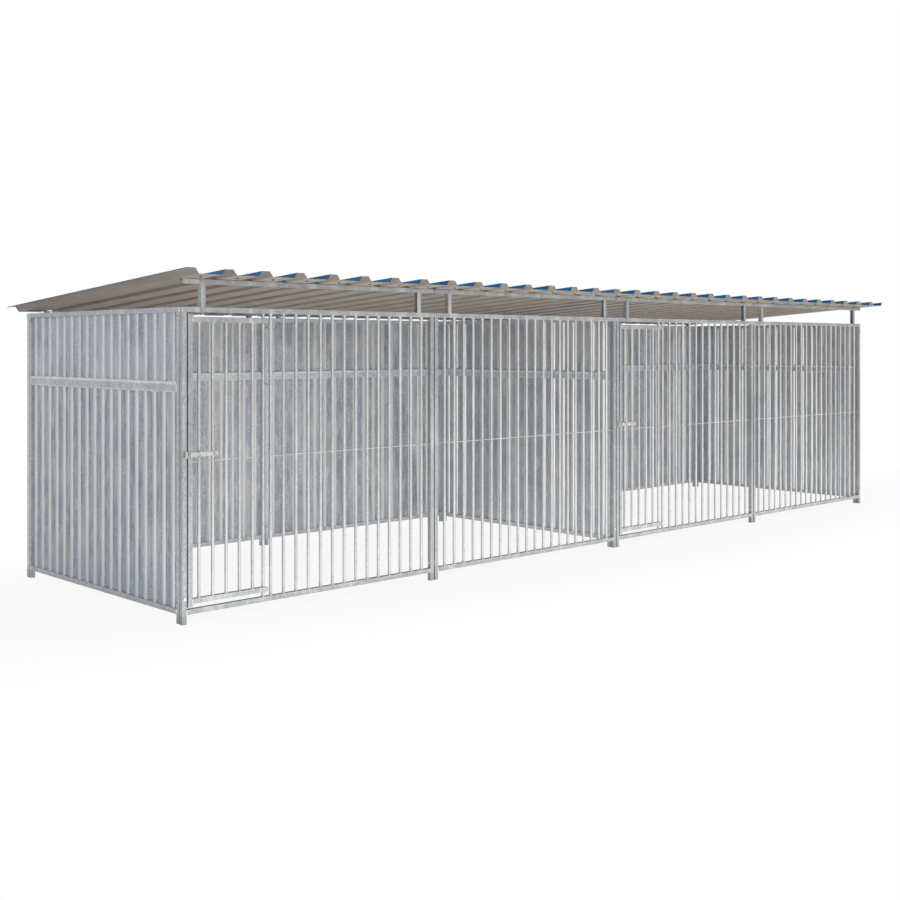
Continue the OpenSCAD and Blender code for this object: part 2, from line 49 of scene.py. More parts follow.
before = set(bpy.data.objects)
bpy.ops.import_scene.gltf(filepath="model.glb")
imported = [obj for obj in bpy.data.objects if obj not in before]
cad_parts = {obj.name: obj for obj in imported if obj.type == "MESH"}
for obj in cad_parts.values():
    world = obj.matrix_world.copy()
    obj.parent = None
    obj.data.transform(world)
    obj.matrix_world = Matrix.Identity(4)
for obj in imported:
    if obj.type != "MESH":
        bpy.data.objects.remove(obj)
CAD_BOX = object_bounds()
ROOT = "kennel"
DOORS = (1, 2)
PANELS = (1, 2, 3, 4)
ROOF_SHEETS = range(1, 9)
WALLS = ("left_wall", "divider_wall", "right_wall")
# Least height of an upright bar, greatest height of a rail, and the distance within which points are merged
BAR_MIN = 0.5
RAIL_MAX = 0.1
MERGE = 1e-5


def srgb(red, green, blue):
    """A colour of eight-bit values as the linear one that a socket takes."""
    shares = (c / 255 for c in (red, green, blue))
    return tuple(c / 12.92 if c <= 0.04045 else ((c + 0.055) / 1.055) ** 2.4 for c in shares)


def colour_property(name, description, value):
    return bpy.props.FloatVectorProperty(
        name=name, description=description, subtype="COLOR", size=3, min=0, max=1, default=srgb(*value))


def length_property(name, description, value):
    return bpy.props.FloatProperty(
        name=name, description=description, unit="LENGTH", min=0, soft_max=1, precision=4, default=value)


class KennelFinishes(bpy.types.PropertyGroup):
    """Colours of the kennel's finishes"""

    tube_light: colour_property("Tube, light", "Bright zinc of the tubes and bars", (169, 171, 172))
    tube_dark: colour_property("Tube, dark", "Dull zinc between the bright crystals", (139, 143, 145))
    bar_light: colour_property("Bar, light", "Bright zinc of the round bars", (187, 187, 185))
    bar_dark: colour_property("Bar, dark", "Dull zinc of the round bars", (159, 161, 160))
    wall_light: colour_property("Wall tube, light", "Bright zinc of the wall frames", (192, 197, 201))
    wall_dark: colour_property("Wall tube, dark", "Dull zinc of the wall frames", (154, 162, 170))
    # Painted light: the inner frames' zinc is lighter than the other frames' to offset the shade inside the
    # runs
    inner_light_painted_lighter: colour_property("Inner tube, light", "Zinc of the inner frames, lightened by painted light", (222, 226, 231))
    inner_dark_painted_lighter: colour_property("Inner tube, dark", "Darker zinc of the inner frames, lightened by painted light", (186, 193, 201))
    sheet_light: colour_property("Sheet, light", "Bright zinc of the wall sheets", (204, 208, 213))
    sheet_dark: colour_property("Sheet, dark", "Bluish dull zinc of the wall sheets", (124, 135, 150))
    sheet_dull: colour_property("Sheet, patches", "Dull blue patches in the valleys", (102, 114, 136))
    # Painted highlight: the colour that the crests and their lit sides are turned to
    sheet_crest_highlight: colour_property("Sheet, crests", "Painted highlight on the crests", (213, 212, 207))
    bloom: colour_property("Bloom", "White bloom and frost on hot-dipped zinc", (232, 234, 235))
    grime: colour_property("Grime", "Dirt that rain leaves near the floor and in corners", (104, 102, 98))
    zinc: colour_property("Hardware", "Plated bolts, screws and latches", (193, 194, 191))
    roof_top: colour_property("Roof, top", "Paint on the upper side of the roof", (0, 112, 171))
    roof_under: colour_property("Roof, underside", "Primer on the lower side of the roof", (173, 162, 150))
    rubber: colour_property("Rubber", "Plugs in the roof's spare holes", (62, 58, 55))


class KennelDetails(bpy.types.PropertyGroup):
    """Sizes of the details that the looks add to the frame"""

    bar_leg: length_property("Bar weld leg", "Leg of the weld round the end of a bar", 0.0034)
    rod_leg: length_property("Rod weld leg", "Leg of the weld where the tie rod leaves a bar", 0.0016)
    joint_bead: length_property("Joint bead", "Radius of the bead along a frame joint", 0.0026)
    rail_bead: length_property("Middle rail bead", "Radius of the rough bead on a middle rail's top", 0.0105)
    washer_edge: length_property("Washer edge", "Width of a washer past the bolt head", 0.0035)
    washer_t: length_property("Washer thickness", "Thickness of a washer under a bolt head", 0.0018)
    plug_d: length_property("Plug diameter", "Diameter of a rubber plug in the roof", 0.019)
    plug_h: length_property("Plug height", "Height of a plug's head", 0.006)
    plug_front: length_property("Plug distance", "From a roof screw forward to the plug", 0.115)
    bolt_head: length_property("Bolt head", "Height of a panel bolt's head", 0.0064)
    screw_head: length_property("Screw head", "Height of a roof screw's head and washer", 0.0067)


class KennelStage(bpy.types.PropertyGroup):
    """Studio round the kennel"""

    floor: colour_property("Floor", "Pale floor", (244, 244, 244))
    sky: bpy.props.FloatProperty(
        name="Soft light", description="Strength of the even light", min=0, default=0.53)
    key: bpy.props.FloatProperty(
        name="Key light", description="Strength of the key lamp", min=0, default=1.5)
    key_spread: bpy.props.FloatProperty(
        name="Key spread", description="Angle that the key lamp covers", subtype="ANGLE",
        default=math.radians(38))
    key_direction: bpy.props.FloatVectorProperty(
        name="Key direction", description="Way that the key light goes", subtype="DIRECTION",
        default=(0.34, 0.93, -0.06))
    bounce: bpy.props.FloatProperty(
        name="Bounce", description="Power of the lamp for light off the floor of the runs",
        subtype="POWER", min=0, default=12)
    front: bpy.props.FloatProperty(
        name="Front bounce", description="Power of the lamp for light off the floor before the kennel",
        subtype="POWER", min=0, default=135)
    floor_white: bpy.props.FloatProperty(
        name="Floor whiteness", description="Share of plain white that the camera sees in the floor",
        subtype="FACTOR", min=0, max=1, default=0.9)
    lens: bpy.props.FloatProperty(
        name="Lens", description="Focal length", subtype="DISTANCE_CAMERA", min=1, default=48.72)
    turn: bpy.props.FloatProperty(
        name="Turn", description="Camera's turn to the right of straight ahead", subtype="ANGLE",
        default=math.radians(43.56))
    eye: bpy.props.FloatVectorProperty(
        name="Eye", description="Place of the camera", subtype="XYZ", unit="LENGTH",
        default=(-7.74, -7.167, 1.622))
    rise: bpy.props.FloatProperty(name="Rise", description="Vertical shift of the lens", default=-0.1156)


# Reading the frame

def islands(name):
    """Boxes of the separate solids of a CAD node, each as its lowest and highest corner."""
    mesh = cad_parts[name].data
    keys, owner = {}, []
    for v in mesh.vertices:
        owner.append(keys.setdefault(tuple(round(c, 5) for c in v.co), len(keys)))
    parent = list(range(len(keys)))

    def top(i):
        while parent[i] != i:
            parent[i] = parent[parent[i]]
            i = parent[i]
        return i

    for polygon in mesh.polygons:
        first = top(owner[polygon.vertices[0]])
        for other in polygon.vertices[1:]:
            parent[top(owner[other])] = first
    boxes = {}
    for place, i in keys.items():
        low, high = boxes.setdefault(top(i), (Vector(place), Vector(place)))
        for axis in range(3):
            low[axis] = min(low[axis], place[axis])
            high[axis] = max(high[axis], place[axis])
    return sorted(boxes.values(), key=lambda box: tuple(box[0]))


def standing(name):
    """The upright bars among a node's solids."""
    return [box for box in islands(name) if box[1].z - box[0].z > BAR_MIN]


# Making pieces

def mesh_from(name, bm, material):
    """A mesh with one material from a bmesh, which is freed."""
    mesh = bpy.data.meshes.new(name)
    bm.to_mesh(mesh)
    bm.free()
    mesh.materials.append(material)
    return mesh


def placed(name, data):
    """A new object of a mesh, a lamp or a camera, put in the scene."""
    made = bpy.data.objects.new(name, data)
    bpy.context.scene.collection.objects.link(made)
    return made


def piece(name, bm, material, body):
    """A finished piece from a bmesh: it rides on a body and takes its finish from a slot."""
    bmesh.ops.recalc_face_normals(bm, faces=bm.faces)
    mesh = mesh_from(name, bm, material)
    for polygon in mesh.polygons:
        polygon.use_smooth = True
    made = placed(name, mesh)
    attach(made, body)


def lathe(bm, line, place, axis, steps, closed=True):
    """Turns a line of points round an axis through place."""
    verts = [bm.verts.new(point) for point in line]
    pairs = zip(verts, verts[-1:] + verts[:-1]) if closed else zip(verts, verts[1:])
    edges = [bm.edges.new(pair) for pair in pairs]
    bmesh.ops.spin(bm, geom=verts + edges, cent=place, axis=axis, angle=math.tau, steps=steps, use_merge=True)


# Shares of a bar's radius: where a collar round it starts, and where a rod's collar stands on it
COLLAR_SEAT = 0.98
ROD_SEAT = 0.94
# Shares of a collar's leg, outward and along the bar, that give the hollow of its face
HOLLOW_OUT = 0.42
HOLLOW_UP = 0.36
# How much collars differ in size, and how fast that changes from place to place
COLLAR_SWELL = 0.3
COLLAR_CHANGE = 37


def collar(bm, place, radius, leg, axis, steps=12):
    """A fillet round a bar that leaves a face at place, along axis. No two are the same size."""
    axis = Vector(axis)
    side = axis.orthogonal().normalized()
    leg = leg * (1 + COLLAR_SWELL * noise.noise(place * COLLAR_CHANGE))
    inner = place + side * radius * COLLAR_SEAT
    hollow = place + side * (radius + HOLLOW_OUT * leg) + axis * HOLLOW_UP * leg
    lathe(bm, [place + side * (radius + leg), hollow, inner + axis * leg, inner], place, axis, steps)


# A bead swells by a fine noise and a share of a slow one: how often each changes in a pitch, that share, and
# the slow one's own place
FINE_CHANGE = 0.9
SLOW_CHANGE = 0.33
SLOW_SHARE = 0.6
SLOW_PLACE = Vector((7, 3, 1))
# Least agreement between the directions of a bead and of an edge that runs along it
PARALLEL = 0.9


def bead(bm, start, end, radius, ripple, pitch, segments=6):
    """A weld bead from one point to another, swollen in ripples that are a pitch long."""
    along = end - start
    turn = along.to_track_quat("Z", "Y").to_matrix().to_4x4()
    made = bmesh.ops.create_cone(
        bm, cap_ends=True, segments=segments, radius1=radius, radius2=radius, depth=along.length,
        matrix=Matrix.Translation((start + end) / 2) @ turn)
    direction = along.normalized()
    near = {edge for v in made["verts"] for edge in v.link_edges}
    edges = [e for e in near if abs((e.verts[1].co - e.verts[0].co).normalized() @ direction) > PARALLEL]
    cuts = max(1, int(along.length / pitch))
    new = bmesh.ops.subdivide_edges(bm, edges=edges, cuts=cuts, use_grid_fill=True)
    moved = {v for v in new["geom_inner"] if isinstance(v, bmesh.types.BMVert)}
    for v in moved:
        axis_point = start + direction * ((v.co - start) @ direction)
        fine = noise.noise(v.co * (FINE_CHANGE / pitch))
        slow = noise.noise(axis_point * (SLOW_CHANGE / pitch) + SLOW_PLACE)
        v.co = axis_point + (v.co - axis_point) * (1 + ripple * (fine + SLOW_SHARE * slow))


# Making materials

def feed(tree, socket, value):
    """Links a socket to another one, or sets it to a value."""
    if isinstance(value, bpy.types.NodeSocket):
        tree.links.new(value, socket)
    else:
        socket.default_value = value


def add(tree, kind, inputs=None, **settings):
    """A node with its settings, and its inputs set to values or linked to sockets."""
    made = tree.nodes.new(kind)
    for name, value in settings.items():
        setattr(made, name, value)
    for name, value in (inputs or {}).items():
        feed(tree, made.inputs[name], value)
    return made


def mix(tree, share, first, second):
    """Colours mixed by a share, given as sockets or colours."""
    made = add(tree, "ShaderNodeMix", {0: share}, data_type="RGBA", blend_type="MIX", clamp_factor=True)
    for index, value in ((6, first), (7, second)):
        is_socket = isinstance(value, bpy.types.NodeSocket)
        feed(tree, made.inputs[index], value if is_socket else (*value[:3], 1))
    return made.outputs[2]


def shade(colour, share):
    """A colour made darker or lighter by a share."""
    return tuple(min(1, share * c) for c in colour)


def tint(tree, base, mask, strength, colour):
    """The base turned towards a colour where a mask lies, by a strength."""
    return mix(tree, math_node(tree, "MULTIPLY", mask, strength), base, colour)


def math_node(tree, operation, first, second=0.0, third=0.0):
    return add(tree, "ShaderNodeMath", {0: first, 1: second, 2: third}, operation=operation).outputs[0]


def ease(tree, value, low, high, to_low=0.0, to_high=1.0):
    """A value eased from one range to another."""
    return add(tree, "ShaderNodeMapRange", {
        "Value": value, "From Min": low, "From Max": high, "To Min": to_low, "To Max": to_high},
        interpolation_type="SMOOTHSTEP").outputs[0]


def noise_value(tree, vector, scale, detail=3.0, roughness=0.55):
    return add(tree, "ShaderNodeTexNoise",
               {"Vector": vector, "Scale": scale, "Detail": detail, "Roughness": roughness}).outputs[0]


def stretched(tree, vector, scale):
    """The vector with its axes scaled, so that a pattern is drawn out along one of them."""
    return add(tree, "ShaderNodeMapping", {"Vector": vector, "Scale": scale}).outputs[0]


def group(name, inputs, outputs):
    """An empty shader node group with its named sockets, its input node and its output node."""
    tree = bpy.data.node_groups.new(name, "ShaderNodeTree")
    for label, kind, value in inputs:
        socket = tree.interface.new_socket(label, in_out="INPUT", socket_type=kind)
        if value is not None:
            socket.default_value = value
    for label, kind in outputs:
        tree.interface.new_socket(label, in_out="OUTPUT", socket_type=kind)
    return tree, tree.nodes.new("NodeGroupInput"), tree.nodes.new("NodeGroupOutput")


VECTOR, VALUE = "NodeSocketVector", "NodeSocketFloat"


def zinc_crystals(name):
    """Crystals of hot-dipped zinc: their tone, white specks between them and the height of the coat."""
    tree, given, out = group(
        name, [("Vector", VECTOR, None), ("Size", VALUE, 0.014)],
        [("Tone", VALUE), ("Specks", VALUE), ("Height", VALUE)])
    vector, size = given.outputs[:2]
    wobble = add(tree, "ShaderNodeTexNoise", {"Vector": vector, "Scale": 55.0, "Detail": 2.0})
    shift = add(tree, "ShaderNodeVectorMath", {0: wobble.outputs["Color"], 1: (0.012, 0.012, 0.012)},
                operation="MULTIPLY")
    bent = add(tree, "ShaderNodeVectorMath", {0: vector, 1: shift.outputs[0]}, operation="ADD").outputs[0]
    scale = math_node(tree, "DIVIDE", 1.0, size)
    cells = add(tree, "ShaderNodeTexVoronoi", {"Vector": bent, "Scale": scale}, feature="SMOOTH_F1")
    cell_tone = add(tree, "ShaderNodeSeparateColor", {0: cells.outputs["Color"]}).outputs[0]
    fine = noise_value(tree, vector, 210.0, 4.0, 0.65)
    broad = noise_value(tree, vector, 9.0, 3.0, 0.6)
    tone = math_node(tree, "ADD", math_node(tree, "MULTIPLY", cell_tone, 0.4),
                     math_node(tree, "MULTIPLY_ADD", fine, 0.35, math_node(tree, "MULTIPLY", broad, 0.35)))
    specks = math_node(tree, "MULTIPLY", ease(tree, noise_value(tree, vector, 120.0, 2.0), 0.57, 0.66),
                       ease(tree, noise_value(tree, vector, 6.0, 2.0), 0.36, 0.62))
    domed = math_node(tree, "MULTIPLY", cells.outputs["Distance"], 0.5)
    height = math_node(tree, "MULTIPLY_ADD", fine, 0.6, domed)
    for label, value in (("Tone", tone), ("Specks", specks), ("Height", height)):
        tree.links.new(value, out.inputs[label])
    return tree


def rain_streaks(name):
    """Marks that run straight down: fine ones, and broad pale patches where water stood."""
    tree, given, out = group(name, [("Vector", VECTOR, None)], [("Fine", VALUE), ("Broad", VALUE)])
    vector = given.outputs[0]
    fine = ease(tree, noise_value(tree, stretched(tree, vector, (120, 120, 1.3)), 1.0, 4.0, 0.6), 0.36, 0.7)
    broad = ease(tree, noise_value(tree, stretched(tree, vector, (9, 9, 1.1)), 1.0, 4.0, 0.62), 0.46, 0.72)
    tree.links.new(fine, out.inputs["Fine"])
    tree.links.new(broad, out.inputs["Broad"])
    return tree


def floor_grime(name):
    """Dirt that thins out with height above the floor."""
    tree, given, out = group(
        name, [("Vector", VECTOR, None), ("Reach", VALUE, 0.25)], [("Mask", VALUE)])
    vector, reach = given.outputs[:2]
    height = add(tree, "ShaderNodeSeparateXYZ", {0: vector}).outputs[2]
    ragged = math_node(tree, "MULTIPLY_ADD", noise_value(tree, vector, 22.0, 4.0, 0.65), 0.16, -0.08)
    level = math_node(tree, "ADD", height, ragged)
    tree.links.new(ease(tree, level, 0.0, reach, 1.0, 0.0), out.inputs["Mask"])
    return tree


def zinc_patches(name):
    """Patches that the zinc bath leaves on sheet: pale and dull ones a thumb wide, and a broad pale haze."""
    tree, given, out = group(
        name, [("Vector", VECTOR, None)], [("Pale", VALUE), ("Dull", VALUE), ("Haze", VALUE)])
    vector = given.outputs[0]
    patches = noise_value(tree, stretched(tree, vector, (30, 30, 6)), 1.0, 5.0, 0.65)
    clouds = noise_value(tree, stretched(tree, vector, (3.2, 3.2, 2.6)), 1.0, 4.0, 0.6)
    tree.links.new(ease(tree, patches, 0.5, 0.66), out.inputs["Pale"])
    tree.links.new(ease(tree, patches, 0.36, 0.5, 1.0, 0.0), out.inputs["Dull"])
    tree.links.new(ease(tree, clouds, 0.4, 0.6), out.inputs["Haze"])
    return tree


EFFECTS = {
    "Zinc crystals": zinc_crystals,
    "Rain streaks": rain_streaks,
    "Floor grime": floor_grime,
    "Zinc patches": zinc_patches,
}


def place_group(tree, name, **values):
    """The outputs of an effect on the object's own coordinates. Its node group is made at its first use."""
    made = bpy.data.node_groups.get(name) or EFFECTS[name](name)
    vector = add(tree, "ShaderNodeTexCoord").outputs["Object"]
    node = add(tree, "ShaderNodeGroup", {"Vector": vector}, node_tree=made)
    for label, value in values.items():
        node.inputs[label].default_value = value
    return node.outputs


def blank(name, **constants):
    """A material with one shader whose plain values are set on its own sockets."""
    made = bpy.data.materials.new(name)
    made.use_nodes = True
    shader = made.node_tree.nodes["Principled BSDF"]
    for label, value in constants.items():
        shader.inputs[label.replace("_", " ")].default_value = value
    return made, made.node_tree, shader


def bumped(tree, shader, height, strength, distance):
    bump = add(tree, "ShaderNodeBump", {"Height": height, "Strength": strength, "Distance": distance})
    tree.links.new(bump.outputs[0], shader.inputs["Normal"])


# The light and the dark tone of each hot-dipped finish
DIPPED = {
    "Galvanised tube": ("tube_light", "tube_dark"),
    "Galvanised bar": ("bar_light", "bar_dark"),
    "Galvanised wall tube": ("wall_light", "wall_dark"),
    # Painted light: the inner frames' copy is lighter to offset the shade inside the runs
    "Galvanised inner tube": ("inner_light_painted_lighter", "inner_dark_painted_lighter"),
}


def dipped_material(name, look):
    """Hot-dipped zinc of tubes and bars between a light and a dark tone."""
    light, dark = (getattr(look, tone) for tone in DIPPED[name])
    made, tree, shader = blank(name, Metallic=0.5)
    tone, specks, height = place_group(tree, "Zinc crystals", Size=0.011)
    fine, broad = place_group(tree, "Rain streaks")
    dirt = place_group(tree, "Floor grime", Reach=0.12)[0]
    base = mix(tree, ease(tree, tone, 0.25, 0.8), dark, light)
    base = tint(tree, base, broad, 0.35, look.bloom)
    base = tint(tree, base, fine, 0.18, dark)
    base = tint(tree, base, specks, 0.35, look.bloom)
    base = tint(tree, base, dirt, 0.5, look.grime)
    tree.links.new(base, shader.inputs["Base Color"])
    rough = math_node(tree, "MULTIPLY_ADD", tone, 0.22, 0.38)
    tree.links.new(math_node(tree, "MULTIPLY_ADD", broad, 0.15, rough), shader.inputs["Roughness"])
    bumped(tree, shader, height, 0.22, 0.0012)
    return made


def sheet_material(name, axis, middle, half, rail, outward, dust_and_painted_light):
    """Streaked zinc of a wall's sheets: crests and their sides get a painted highlight, valleys a painted
    shade and dull patches. The corrugation lies across an axis, from half its depth before the middle to half
    behind it. Above the rail's height the highlight is weaker and a pale haze lies on the sheet. The outward
    side gets painted shade, and the other side painted light by a share, stronger on the crests."""
    look = bpy.context.scene.kennel_finishes
    made, tree, shader = blank(name, Metallic=0.45)
    tone, specks, height = place_group(tree, "Zinc crystals", Size=0.017)
    fine, broad = place_group(tree, "Rain streaks")
    dirt = place_group(tree, "Floor grime", Reach=0.45)[0]
    pale, dull, haze = place_group(tree, "Zinc patches")
    given = add(tree, "ShaderNodeTexCoord").outputs
    place = add(tree, "ShaderNodeSeparateXYZ", {0: given["Object"]}).outputs
    facing = add(tree, "ShaderNodeSeparateXYZ", {0: given["Normal"]}).outputs[axis]
    depth = math_node(tree, "DIVIDE", math_node(tree, "SUBTRACT", place[axis], middle), half)
    proud = math_node(tree, "MULTIPLY", depth, math_node(tree, "SIGN", facing))
    # Painted highlight on the crests and painted shade in the valleys, set by depth in the corrugation
    crest_highlight = ease(tree, proud, -0.95, -0.5)
    valley_shade = math_node(tree, "SUBTRACT", 1.0, crest_highlight)
    crest_highlight_share = math_node(tree, "MULTIPLY", crest_highlight, ease(tree, place[2], rail - 0.02, rail + 0.02, 0.85, 0.62))
    hazy = math_node(tree, "MULTIPLY", haze, ease(tree, place[2], rail, rail + 0.1, 0.0, 0.42))
    # Painted shade on the side that faces outward, and painted light on the other side
    outward_painted_shade = ease(tree, math_node(tree, "MULTIPLY", facing, outward), 0.0, 0.2)
    inward_painted_light = math_node(tree, "SUBTRACT", 1.0, outward_painted_shade)
    base = mix(tree, ease(tree, tone, 0.15, 0.9), look.sheet_dark, look.sheet_light)
    base = tint(tree, base, fine, 0.45, look.sheet_dark)
    # Painted shade in the valleys
    base = tint(tree, base, valley_shade, 0.55, look.sheet_dark)
    base = tint(tree, base, dull, 0.75, look.sheet_dull)
    base = tint(tree, base, pale, 0.38, look.bloom)
    # Painted highlight on the crests, weaker above the middle rail
    base = mix(tree, crest_highlight_share, base, look.sheet_crest_highlight)
    base = mix(tree, hazy, base, look.sheet_light)
    base = tint(tree, base, broad, 0.42, look.bloom)
    base = tint(tree, base, specks, 0.8, look.bloom)
    base = tint(tree, base, dirt, 0.28, look.sheet_dark)
    # Painted shade on the outward side, then painted light on the other side, stronger on the crests
    base = tint(tree, base, outward_painted_shade, 0.22, look.sheet_dark)
    base = tint(tree, base, inward_painted_light, math_node(tree, "MULTIPLY_ADD", crest_highlight, 0.5, dust_and_painted_light), look.bloom)
    tree.links.new(base, shader.inputs["Base Color"])
    rough = math_node(tree, "MULTIPLY_ADD", tone, 0.25, 0.34)
    tree.links.new(math_node(tree, "MULTIPLY_ADD", broad, 0.2, rough), shader.inputs["Roughness"])
    bumped(tree, shader, height, 0.3, 0.0015)
    return made


def weld_material(name, look):
    made, tree, shader = blank(name, Metallic=0.4)
    tone, specks, height = place_group(tree, "Zinc crystals", Size=0.005)
    base = mix(tree, ease(tree, tone, 0.25, 0.6), look.wall_light, look.bloom)
    base = tint(tree, base, specks, 0.4, look.tube_dark)
    tree.links.new(base, shader.inputs["Base Color"])
    tree.links.new(math_node(tree, "MULTIPLY_ADD", tone, 0.25, 0.45), shader.inputs["Roughness"])
    bumped(tree, shader, height, 0.5, 0.0015)
    return made


def hardware_material(name, look):
    made, tree, shader = blank(name, Metallic=0.8)
    tone, specks, height = place_group(tree, "Zinc crystals", Size=0.006)
    fine, broad = place_group(tree, "Rain streaks")
    base = mix(tree, ease(tree, tone, 0.3, 0.75), shade(look.zinc, 0.78), look.zinc)
    base = tint(tree, base, broad, 0.3, look.tube_dark)
    base = tint(tree, base, specks, 0.5, look.bloom)
    tree.links.new(base, shader.inputs["Base Color"])
    rough = math_node(tree, "MULTIPLY_ADD", fine, 0.14, 0.26)
    tree.links.new(math_node(tree, "MULTIPLY_ADD", tone, 0.12, rough), shader.inputs["Roughness"])
    bumped(tree, shader, height, 0.15, 0.0006)
    return made


def roof_material(name, look):
    made, tree, shader = blank(name, Specular_IOR_Level=0.12)
    vector = add(tree, "ShaderNodeTexCoord")
    up = add(tree, "ShaderNodeSeparateXYZ", {0: vector.outputs["Normal"]}).outputs[2]
    above = ease(tree, up, -0.02, 0.06)
    place = vector.outputs["Object"]
    runs = ease(tree, noise_value(tree, stretched(tree, place, (55, 1.4, 1.4)), 1.0, 4.0, 0.6), 0.35, 0.7)
    cloud = noise_value(tree, place, 5.0, 4.0, 0.6)
    orange_peel = noise_value(tree, place, 420.0, 2.0)
    dust_and_painted_light = ease(tree, noise_value(tree, stretched(tree, place, (18, 2.2, 2.2)), 1.0, 5.0, 0.65), 0.48, 0.75)
    top = mix(tree, ease(tree, cloud, 0.3, 0.7), shade(look.roof_top, 0.72), look.roof_top)
    top = tint(tree, top, dust_and_painted_light, 0.06, look.bloom)
    under = mix(tree, runs, shade(look.roof_under, 0.84), look.roof_under)
    under = tint(tree, under, ease(tree, cloud, 0.4, 0.75), 0.22, look.grime)
    tree.links.new(mix(tree, above, under, top), shader.inputs["Base Color"])
    rough = math_node(tree, "MULTIPLY_ADD", dust_and_painted_light, 0.2, 0.46)
    tree.links.new(math_node(tree, "MULTIPLY_ADD", above, -0.06, rough), shader.inputs["Roughness"])
    bumped(tree, shader, orange_peel, 0.08, 0.0004)
    return made


def rubber_material(name, look):
    made, tree, shader = blank(name)
    place = add(tree, "ShaderNodeTexCoord").outputs["Object"]
    chalk = noise_value(tree, place, 160.0, 4.0, 0.6)
    base = mix(tree, ease(tree, chalk, 0.4, 0.75), look.rubber, shade(look.rubber, 2.2))
    tree.links.new(base, shader.inputs["Base Color"])
    tree.links.new(math_node(tree, "MULTIPLY_ADD", chalk, 0.2, 0.6), shader.inputs["Roughness"])
    bumped(tree, shader, chalk, 0.2, 0.0005)
    return made


MAKERS = {
    **dict.fromkeys(DIPPED, dipped_material),
    "Frosted weld": weld_material,
    "Zinc hardware": hardware_material,
    "Roof paint": roof_material,
    "Rubber plug": rubber_material,
}


def finish_of(name):
    """The material of a name, made the first time that it is asked for."""
    return bpy.data.materials.get(name) or MAKERS[name](name, bpy.context.scene.kennel_finishes)


def coat(material, names):
    """Puts a material in the place of the CAD nodes' plain colour."""
    for name in names:
        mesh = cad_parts[name].data
        mesh.materials.clear()
        mesh.materials.append(material)


# Operators

class KENNEL_OT_finish_tubes(bpy.types.Operator):
    """Gives every tube, bar and channel its hot-dipped finish"""

    bl_idname = "kennel.finish_tubes"
    bl_label = "Finish Tubes and Bars"

    def execute(self, context):
        frames = [f"front_frame_{n}" for n in PANELS] + [f"door_frame_{n}" for n in DOORS]
        bars = [f"front_bars_{n}" for n in PANELS]
        bars += [f"{kind}_{n}" for n in DOORS for kind in ("door_bars", "hinge_bar")]
        coat(finish_of("Galvanised bar"), bars + ["tie_rods"])
        coat(finish_of("Galvanised wall tube"), ["left_wall_frame", "right_wall_frame"])
        # The inner frames take a lighter copy of the zinc: painted light against the shade inside the runs
        coat(finish_of("Galvanised inner tube"), ["divider_wall_frame"] + [f"back_frame_{n}" for n in PANELS])
        supports = ["front_uprights", "front_purlins", "rear_uprights", "rear_bearers"]
        coat(finish_of("Galvanised tube"), frames + supports)
        return {"FINISHED"}


class KENNEL_OT_finish_sheets(bpy.types.Operator):
    """Gives the corrugated wall sheets their streaked zinc, with painted highlights, painted shade and painted
    light
    """

    bl_idname = "kennel.finish_sheets"
    bl_label = "Finish Wall Sheets"

    def execute(self, context):
        # For each wall: the sign of its outward side, and the share of painted light on its other side
        for wall, outward, dust_and_painted_light in (("left_wall", -1.0, 0.08), ("divider_wall", 0.0, 0.2),
                                    ("right_wall", 1.0, 0.1), ("back", 1.0, 0.06)):
            names = [f"back_sheets_{n}" for n in PANELS] if wall == "back" else [f"{wall}_sheets"]
            axis = 1 if wall == "back" else 0
            low, high = (corner[axis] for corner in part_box(names[0]))
            lower = min(islands(names[0]), key=lambda box: box[0].z)
            middle, half = (low + high) / 2, (high - low) / 2
            made = sheet_material(f"Galvanised sheet {wall}", axis, middle, half, lower[1].z, outward, dust_and_painted_light)
            coat(made, names)
        return {"FINISHED"}


class KENNEL_OT_finish_hardware(bpy.types.Operator):
    """Gives bolts, screws, sleeves and latches their plating"""

    bl_idname = "kennel.finish_hardware"
    bl_label = "Finish Hardware"

    def execute(self, context):
        kinds = ("door_sleeves", "latch_plate", "latch_guides", "latch_bolt", "latch_keeper")
        fixings = [
            "panel_bolts", "panel_nuts", "panel_spacers", "back_links", "upright_screws", "roof_screws"]
        coat(finish_of("Zinc hardware"), [f"{kind}_{n}" for n in DOORS for kind in kinds] + fixings)
        return {"FINISHED"}


class KENNEL_OT_finish_roof(bpy.types.Operator):
    """Paints the roof sheets blue on top and leaves primer below"""

    bl_idname = "kennel.finish_roof"
    bl_label = "Finish Roof"

    def execute(self, context):
        coat(finish_of("Roof paint"), [f"roof_sheet_{n}" for n in ROOF_SHEETS])
        return {"FINISHED"}


def bar_welds(bm, bars, leg):
    """Collars round both ends of upright bars."""
    for low, high in bars:
        middle = (low + high) / 2
        radius = (high.x - low.x) / 2
        collar(bm, Vector((middle.x, middle.y, low.z)), radius, leg, (0, 0, 1))
        collar(bm, Vector((middle.x, middle.y, high.z)), radius, leg, (0, 0, -1))


def rod_welds(bm, bars, height, rod, leg):
    """Collars on both sides of each bar where a tie rod of a radius passes through it."""
    for low, high in bars:
        middle = (low + high) / 2
        radius = (high.x - low.x) / 2
        for side in (-1, 1):
            place = Vector((middle.x + side * radius * ROD_SEAT, middle.y, height))
            collar(bm, place, rod, leg, (side, 0, 0), steps=10)


